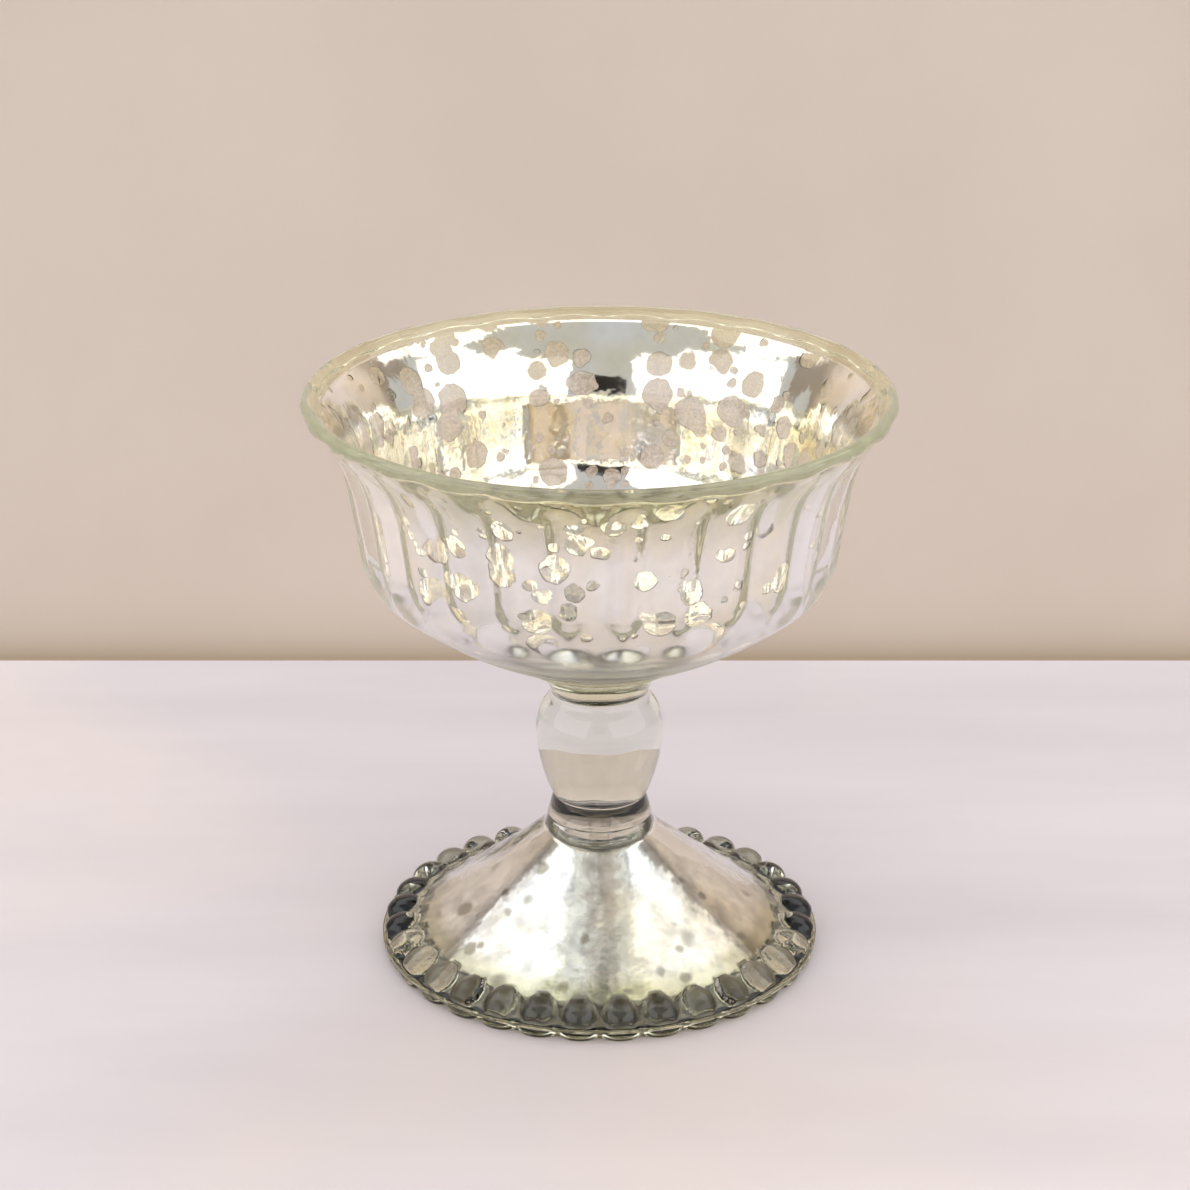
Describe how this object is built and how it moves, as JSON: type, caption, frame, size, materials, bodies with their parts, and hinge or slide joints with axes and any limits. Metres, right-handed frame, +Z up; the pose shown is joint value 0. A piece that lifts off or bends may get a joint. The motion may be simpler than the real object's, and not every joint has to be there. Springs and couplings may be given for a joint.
{
  "type": "tealight holder",
  "caption": "Footed tealight holder of pressed, silvered glass: fluted bowl with a flared, rolled rim, clear knop stem and hollow foot with a beaded edge.",
  "frame": {"origin": "on the table, under the middle of the foot", "axes": "+Z up along the stem; +X and +Y lie in the table, and the piece is round about +Z"},
  "size_m": [0.0972, 0.0972, 0.1],
  "materials": {
    "bowl_glass": "gloss",
    "stem_glass": "gloss",
    "olive_glass": "gloss",
    "foot_glass": "gloss",
    "silvering": "gloss",
    "lacquer": "gloss"
  },
  "bodies": {
    "root": {"glass_bowl": "bowl_glass", "joining_wafer": "bowl_glass", "stem_flare": "olive_glass", "stem_knop": "stem_glass", "neck_collar": "olive_glass", "glass_foot": "foot_glass", "bowl_silvering": "silvering", "bowl_lacquer": "lacquer", "foot_silvering": "silvering", "foot_lacquer": "lacquer"}
  },
  "joints": []
}
